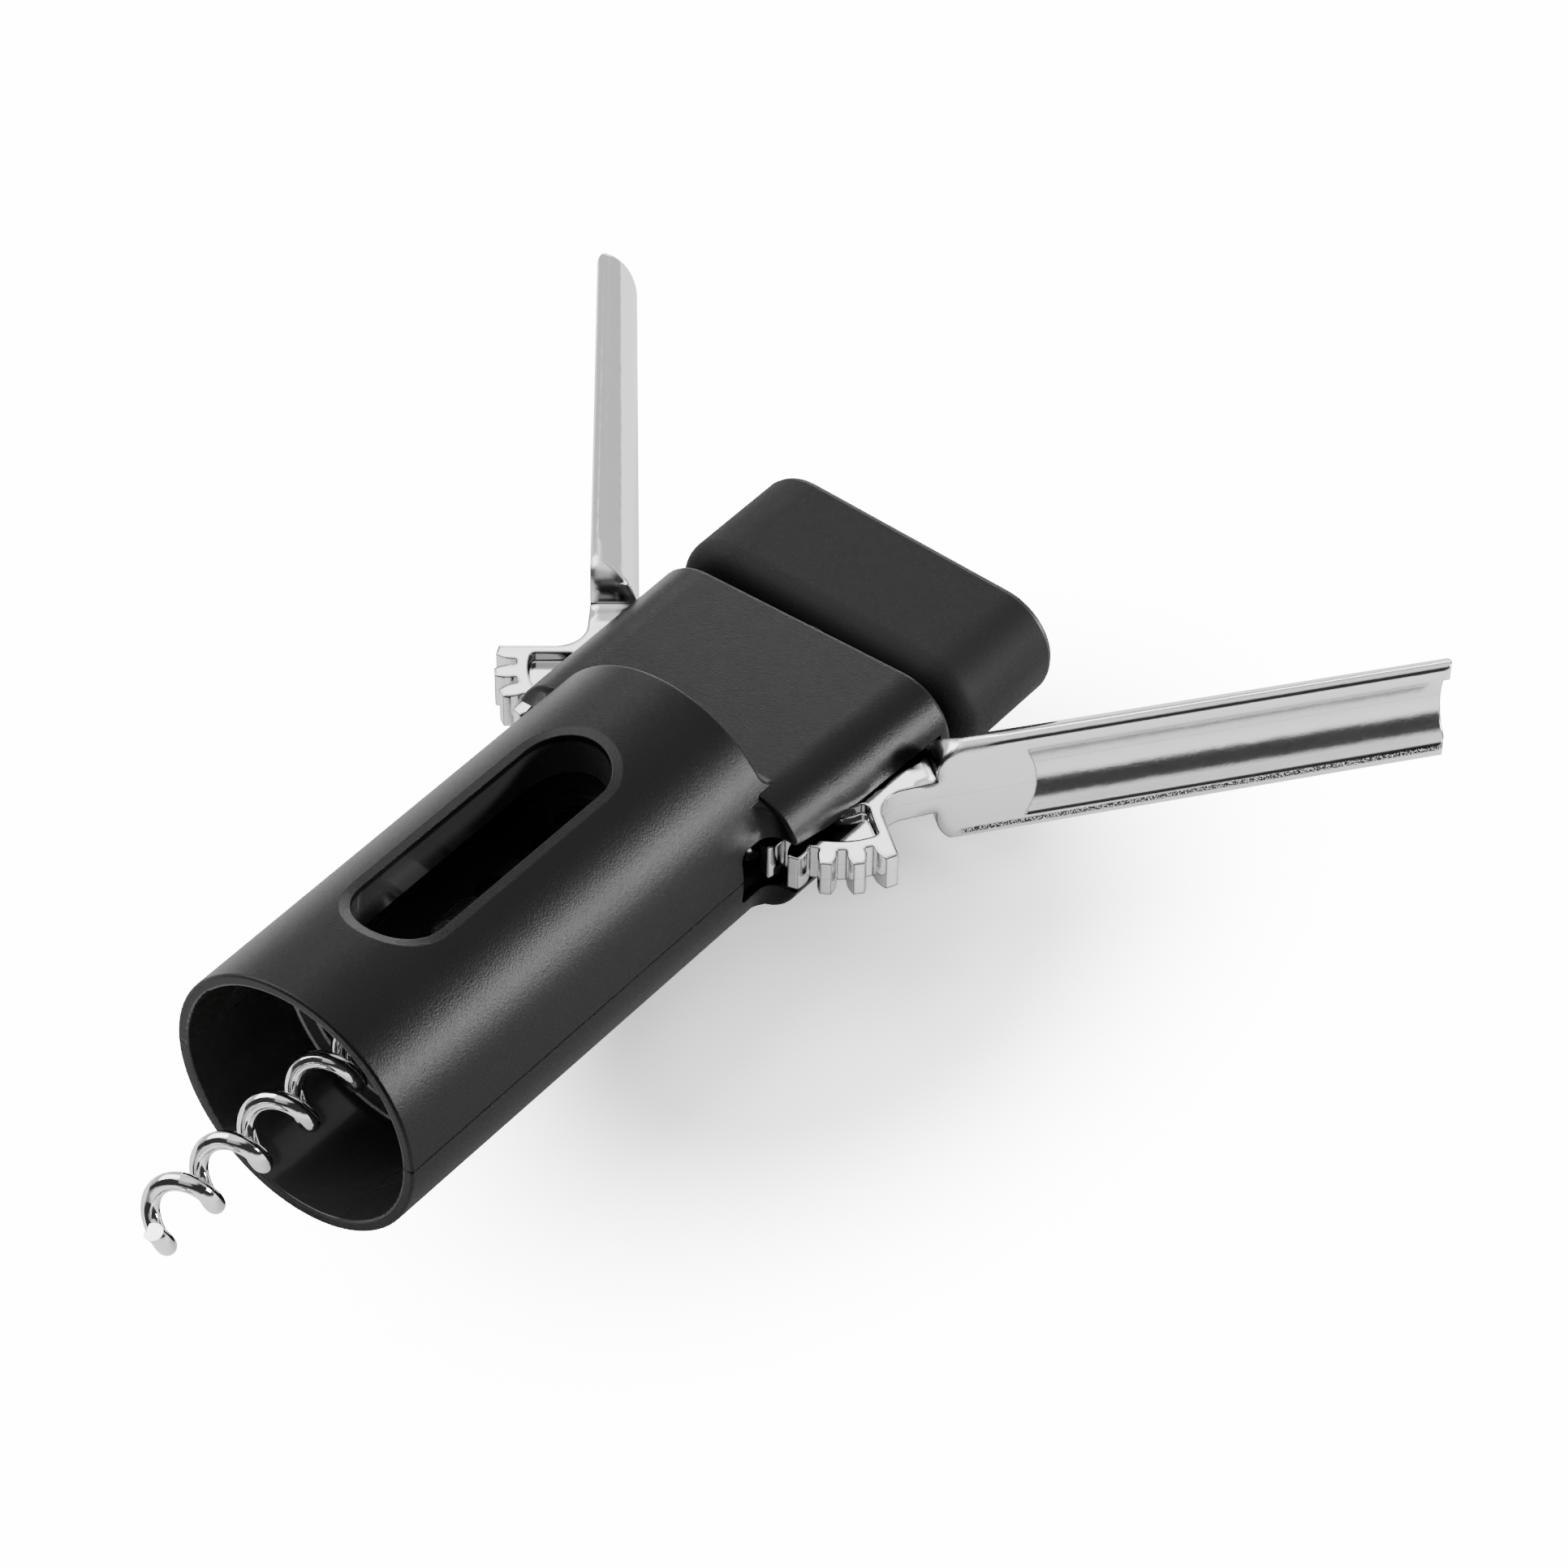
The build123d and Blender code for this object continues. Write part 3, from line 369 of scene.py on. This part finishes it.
def gloss_shaft():
    """Glossy black plastic of the ring rack, with a slight mould flow."""
    material, finish = new_finish("gloss_shaft")
    place = finish.place()
    flow = finish.noise(place, size=0.005, detail=2.0)
    shade = finish.blend(flow, grey(0.008), grey(0.012))
    relief = finish.bump(flow, depth=0.00002)
    surface(finish, Base_Color=shade, Roughness=flow.spread(0.13, 0.2), Normal=relief)
    return material


def dull_nylon():
    """Dark nylon of bushes and washers."""
    material, finish = new_finish("dull_nylon")
    place = finish.place()
    grain = finish.noise(place, size=0.0004, detail=2.0)
    shade = finish.blend(grain, grey(0.012), grey(0.017))
    relief = finish.bump(grain, depth=0.00002)
    surface(finish, Base_Color=shade, Roughness=grain.spread(0.45, 0.6), Normal=relief)
    return material


def plated_steel():
    """Zinc-plated steel of screws, pins, sleeves and the ferrule, with fine marks."""
    material, finish = new_finish("plated_steel")
    place = finish.place()
    marks = finish.noise(place, size=0.0004, detail=3.0)
    clouds = finish.noise(place, size=0.003, detail=2.0)
    shade = finish.blend(clouds, grey(0.52, 0.01), grey(0.66, 0.01))
    relief = finish.bump(marks, depth=0.00001)
    surface(finish, Base_Color=shade, Metallic=1.0, Roughness=marks.spread(0.22, 0.38), Normal=relief)
    return material


def grip_end():
    """Smooth dark plastic of the grip's core and of the cap in its far end."""
    material, finish = new_finish("grip_end")
    place = finish.place()
    grain = finish.noise(place, size=0.00025, detail=3.0)
    clouds = finish.noise(place, size=0.01, detail=2.0)
    shade = finish.blend(clouds, grey(0.011), grey(0.014))
    relief = finish.bump(grain, depth=0.00002)
    surface(finish, Base_Color=shade, Roughness=clouds.spread(0.42, 0.5), Normal=relief)
    return material


def pale_floor():
    """White studio table that fades, for the camera alone, to plain white away from the shadow."""
    material, finish = new_finish("pale_floor")
    place = finish.place()
    x, y, _ = finish.parts(place)
    clouds = finish.noise(place, size=0.2, detail=2.0)
    shade = finish.blend(clouds, grey(0.88), grey(0.90))
    toward_camera = x * math.sin(CAMERA_AZIMUTH) - y * math.cos(CAMERA_AZIMUTH)
    # Painted shade: the table is painted dark toward the camera, for what the object mirrors.
    shade = finish.blend(toward_camera.step(*PAINTED_SHADE_TOWARD_CAMERA), shade, grey(0.15))
    # Painted shadow: the table beside the tube is painted darker, for what the tube mirrors.
    painted_shadow_strip = abs(x - PAINTED_SHADOW_X).step(*PAINTED_SHADOW_REACH_X) * abs(y - PAINTED_SHADOW_Y).step(*PAINTED_SHADOW_REACH_Y)
    shade = finish.blend(painted_shadow_strip * PAINTED_SHADOW_SHARE, shade, grey(0.25))
    table = finish.node("ShaderNodeBsdfDiffuse", sockets={"Color": shade})
    bright = finish.node("ShaderNodeBsdfDiffuse", sockets={"Color": grey(SHADOW_WHITE)})
    white = finish.node("ShaderNodeEmission", sockets={"Color": grey(1.0), "Strength": WHITE_GLOW})
    aside = (x - SHADOW_X) / SHADOW_HALF_X
    ahead = (y - SHADOW_Y) / SHADOW_HALF_Y
    away = (aside * aside + ahead * ahead) ** 0.5
    fading = finish.node("ShaderNodeMixShader", sockets={0: away.step(*SHADOW_FADE), 1: bright, 2: white})
    seen = finish.node("ShaderNodeLightPath", out="Is Camera Ray")
    mixed = finish.node("ShaderNodeMixShader", sockets={0: seen, 1: table, 2: fading})
    finish.node("ShaderNodeOutputMaterial", sockets={"Surface": mixed})
    return material


FINISHES = {
    "casing": satin_casing(),
    "steel": plated_steel(),
    "nylon": dull_nylon(),
    "lever": chrome_casting(),
    "shaft": gloss_shaft(),
    "worm": polished_wire(),
    "grip_core": grip_end(),
    "grip": soft_grip(),
}
for part in frame["record"]["subparts"]:
    for slot in nodes[part["node"]].material_slots:
        slot.material = FINISHES[part["material_slot"]]

# Floor
floor_mesh = bpy.data.meshes.new("floor")
turns = [(-1, -1), (1, -1), (1, 1), (-1, 1)]
corners = [(FLOOR_HALF * x, FLOOR_HALF * y, FLOOR_Z) for x, y in turns]
floor_mesh.from_pydata(corners, [], [(0, 1, 2, 3)])
floor_mesh.materials.append(pale_floor())
floor = bpy.data.objects.new("floor", floor_mesh)
bpy.context.scene.collection.objects.link(floor)


def softbox(name, place, target, width, height, power):
    """Soft lamp that faces a point."""
    data = bpy.data.lights.new(name, "AREA")
    data.shape = "RECTANGLE"
    data.size = width
    data.size_y = height
    data.energy = power
    lamp = bpy.data.objects.new(name, data)
    lamp.location = place
    lamp.rotation_mode = "QUATERNION"
    lamp.rotation_quaternion = (Vector(target) - Vector(place)).to_track_quat("-Z", "Y")
    bpy.context.scene.collection.objects.link(lamp)


softbox("key_softbox", (-1.1, -0.1, 1.2), target=(0, 0.06, 0), width=1.5, height=1.5, power=34.0)
softbox("back_strip", (1.10, 0.81, 0.41), target=(0, 0.04, 0), width=0.7, height=0.14, power=24.0)
softbox("gear_card", (-0.55, 0.79, 0.80), target=(0, 0.09, 0), width=0.3, height=0.14, power=0.34)
softbox("rim_strip", (-0.62, 1.27, 0.43), target=(0, 0.08, 0), width=0.7, height=0.2, power=5.0)

# Studio room: white overhead, paler behind, a small fill beside the camera, dim elsewhere
world = bpy.data.worlds.new("studio")
bpy.context.scene.world = world
room = Finish(world)
direction = room.node("ShaderNodeTexCoord", out="Generated")
across, along, height = room.parts(direction)
toward_camera = across * math.sin(CAMERA_AZIMUTH) - along * math.cos(CAMERA_AZIMUTH)
fill_way = way(CAMERA_AZIMUTH - FILL_ASIDE, CAMERA_ELEVATION)
overhead = height.step(*OVERHEAD_REACH)
behind = toward_camera.step(*BEHIND_REACH)
round_fill = across * fill_way.x + along * fill_way.y + height * fill_way.z
fill = round_fill.step(*FILL_REACH)
light = overhead + (1 - overhead) * behind * BEHIND_SHARE + fill * FILL_SHARE
glow = light.spread(*ROOM_GLOW)
sky = room.node("ShaderNodeBackground", sockets={"Color": grey(1.0), "Strength": glow})
room.node("ShaderNodeOutputWorld", sockets={"Surface": sky})
